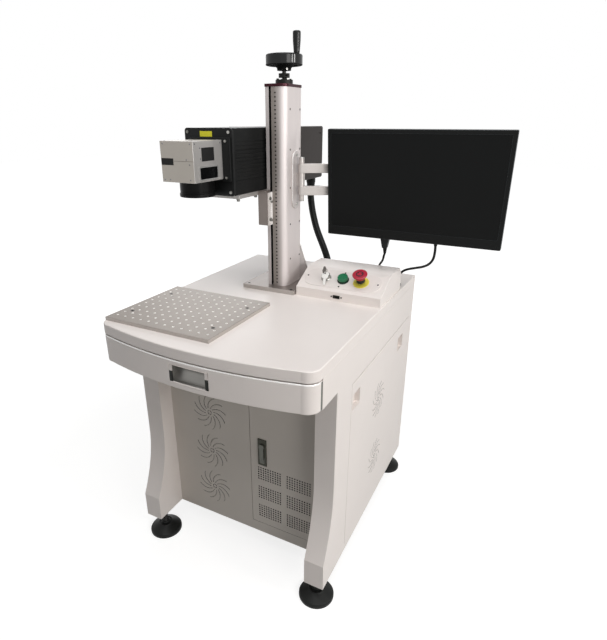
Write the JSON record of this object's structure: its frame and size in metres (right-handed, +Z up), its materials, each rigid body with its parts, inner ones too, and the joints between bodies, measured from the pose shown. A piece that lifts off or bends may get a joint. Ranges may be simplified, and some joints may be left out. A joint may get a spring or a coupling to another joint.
{
  "type": "laser marking machine",
  "caption": "Free-standing laser marking machine: cabinet with drawer, door and feet, drilled work plate, screw-lifted laser head and a monitor on a jointed arm.",
  "frame": {"origin": "on the floor under the middle of the cabinet's width, 416 mm behind the drawer front's foremost line", "axes": "+Z up, +X to the operator's right, -Y towards the operator"},
  "size_m": [0.8545, 0.841, 1.3883],
  "materials": {
    "body_paint": "satin powder coat, warm white",
    "panel_paint": "fine powder coat, light warm grey",
    "work_plate": "satin anodised",
    "base_plate": "satin anodised",
    "column_aluminium": "fine brushed anodised",
    "cap_maroon": "anodised, dark maroon",
    "bearing_dark": "blackened",
    "steel_bright": "ground",
    "steel_dark": "black oxide",
    "collar_steel": "turned",
    "wheel_black": "gloss moulded",
    "grip_black": "moulded",
    "laser_black": "black anodised",
    "galvo_silver": "brushed",
    "motor_grey": "turned",
    "mirror_glass": "coated",
    "lens_black": "black anodised",
    "switch_metal": "nickel plated",
    "switch_plastic": "moulded",
    "button_green": "translucent moulding",
    "stop_red": "moulded",
    "foot_rubber": "matt",
    "lock_grey": "die cast, dark grey",
    "lever_metal": "zinc plated",
    "pull_grey": "pressed, grey metallic",
    "runner_zinc": "zinc plated",
    "arm_silver": "satin painted",
    "bracket_dark": "satin black",
    "monitor_black": "fine textured",
    "screen_glass": "anti-glare panel",
    "conduit_black": "corrugated sleeve",
    "cable_black": "smooth sheath",
    "gland_black": "moulded",
    "unit_grey": "painted case",
    "fan_black": "moulded"
  },
  "bodies": {
    "cabinet": {"side_frame_left": "body_paint", "side_frame_right": "body_paint", "table_top": "body_paint", "front_panel": "panel_paint", "floor_back_panel": "panel_paint", "levelling_feet": "foot_rubber", "door_hinges": "lever_metal", "drawer_runners": "runner_zinc", "work_plate": "work_plate", "cap_screws": "steel_dark", "column_base": "base_plate", "column": "column_aluminium", "column_cap": "cap_maroon", "guide_rods": "steel_bright", "screw_bearing": "bearing_dark", "control_box": "body_paint", "panel_plate": "panel_paint", "switch_bodies": "switch_plastic", "data_socket": "switch_metal", "arm_wall_plate": "arm_silver", "conduit": "conduit_black", "signal_cable": "cable_black", "power_cable": "cable_black", "cable_glands": "gland_black", "laser_source": "unit_grey", "industrial_computer": "unit_grey", "fan_housing": "fan_black"},
    "left_cover": {"side_cover_left": "body_paint"},
    "right_cover": {"side_cover_right": "body_paint"},
    "door": {"front_door": "panel_paint", "door_lock_plate": "lock_grey"},
    "lock_lever": {"door_lock_lever": "lever_metal"},
    "drawer": {"drawer_front": "body_paint", "drawer_pull": "pull_grey", "drawer_tray": "panel_paint"},
    "screw": {"lead_screw": "steel_bright", "clamp_collar": "collar_steel", "handwheel": "wheel_black"},
    "grip": {"wheel_grip": "grip_black"},
    "head": {"carriage": "base_plate", "carriage_bracket": "base_plate", "head_plate": "base_plate", "head_screws": "steel_bright", "laser_body": "laser_black", "front_flange": "laser_black", "galvo_housing": "galvo_silver", "galvo_motors": "motor_grey", "scan_lens": "lens_black"},
    "scan_mirror_x": {"mirror_x": "mirror_glass"},
    "scan_mirror_y": {"mirror_y": "mirror_glass"},
    "key": {"switch_key": "switch_metal"},
    "start": {"start_button": "button_green"},
    "stop": {"stop_stem": "switch_plastic"},
    "stop_head": {"stop_cap": "stop_red"},
    "near_arm": {"arm_link_near": "arm_silver"},
    "far_arm": {"arm_link_far": "arm_silver"},
    "tilt_head": {"monitor_bracket": "bracket_dark"},
    "monitor": {"monitor_shell": "monitor_black", "monitor_screen": "screen_glass"},
    "fan": {"fan_rotor": "fan_black"}
  },
  "joints": [
    {"name": "drawer_slide", "type": "slide", "parent": "cabinet", "child": "drawer", "axis": [0, -1, 0], "range_m": [0, 0.3]},
    {"name": "door_hinge", "type": "hinge", "parent": "cabinet", "child": "door", "pos_m": [0.23475, -0.2182, 0.356], "axis": [0, 0, 1], "range_deg": [0, 90]},
    {"name": "lock_turn", "type": "hinge", "parent": "door", "child": "lock_lever", "pos_m": [0.064, -0.215, 0.37516], "axis": [0, 1, 0], "range_deg": [0, 90]},
    {"name": "left_cover_off", "type": "slide", "parent": "cabinet", "child": "left_cover", "axis": [-1, 0, 0], "range_m": [0, 0.15]},
    {"name": "right_cover_off", "type": "slide", "parent": "cabinet", "child": "right_cover", "axis": [1, 0, 0], "range_m": [0, 0.15]},
    {"name": "head_lift", "type": "slide", "parent": "cabinet", "child": "head", "axis": [0, 0, 1], "range_m": [-0.17, 0.13], "deforming": ["conduit"]},
    {"name": "handwheel_turn", "type": "hinge", "parent": "cabinet", "child": "screw", "pos_m": [-0.026, 0.09, 1.3], "axis": [0, 0, 1], "range_deg": [-4700, 6150]},
    {"name": "grip_spin", "type": "hinge", "parent": "screw", "child": "grip", "pos_m": [0.01376, 0.08227, 1.363], "axis": [0, 0, 1], "continuous": true},
    {"name": "mirror_x_turn", "type": "hinge", "parent": "head", "child": "scan_mirror_x", "pos_m": [-0.16, -0.157, 1.12], "axis": [0, 0, 1], "range_deg": [-10, 10]},
    {"name": "mirror_y_turn", "type": "hinge", "parent": "head", "child": "scan_mirror_y", "pos_m": [-0.137, -0.13, 1.0965], "axis": [0, 1, 0], "range_deg": [-10, 10]},
    {"name": "key_turn", "type": "hinge", "parent": "cabinet", "child": "key", "pos_m": [0.1157, 0.06397, 0.78616], "axis": [0, -0.4515, 0.8923], "range_deg": [-90, 0]},
    {"name": "start_press", "type": "slide", "parent": "cabinet", "child": "start", "axis": [0, 0.4515, -0.8923], "range_m": [0, 0.0025], "stiffness_N_per_m": 500, "springref_m": -0.002},
    {"name": "stop_press", "type": "slide", "parent": "cabinet", "child": "stop", "axis": [0, 0.4515, -0.8923], "range_m": [0, 0.004]},
    {"name": "stop_twist", "type": "hinge", "parent": "stop", "child": "stop_head", "pos_m": [0.2187, 0.05585, 0.80222], "axis": [0, -0.4515, 0.8923], "range_deg": [-45, 0], "stiffness_Nm_per_rad": 0.05},
    {"name": "arm_shoulder", "type": "hinge", "parent": "cabinet", "child": "near_arm", "pos_m": [0.018, 0.106, 1.0335], "axis": [0, 0, 1], "range_deg": [-45, 50], "deforming": ["signal_cable", "power_cable"]},
    {"name": "arm_elbow", "type": "hinge", "parent": "near_arm", "child": "far_arm", "pos_m": [0.17822, 0.1985, 1.0345], "axis": [0, 0, 1], "range_deg": [0, 70]},
    {"name": "monitor_swivel", "type": "hinge", "parent": "far_arm", "child": "tilt_head", "pos_m": [0.32306, 0.20508, 1.058], "axis": [0, 0, 1], "range_deg": [-2, 40]},
    {"name": "monitor_tilt", "type": "hinge", "parent": "tilt_head", "child": "monitor", "pos_m": [0.32306, 0.1803, 1.05282], "axis": [1, 0, 0], "range_deg": [-15, 8]},
    {"name": "fan_spin", "type": "hinge", "parent": "cabinet", "child": "fan", "pos_m": [-0.1, 0.36, 0.5], "axis": [0, 1, 0], "continuous": true}
  ],
  "couplings": [
    {"joint": "handwheel_turn", "follows": "head_lift", "rad_per_m": -628.32}
  ]
}
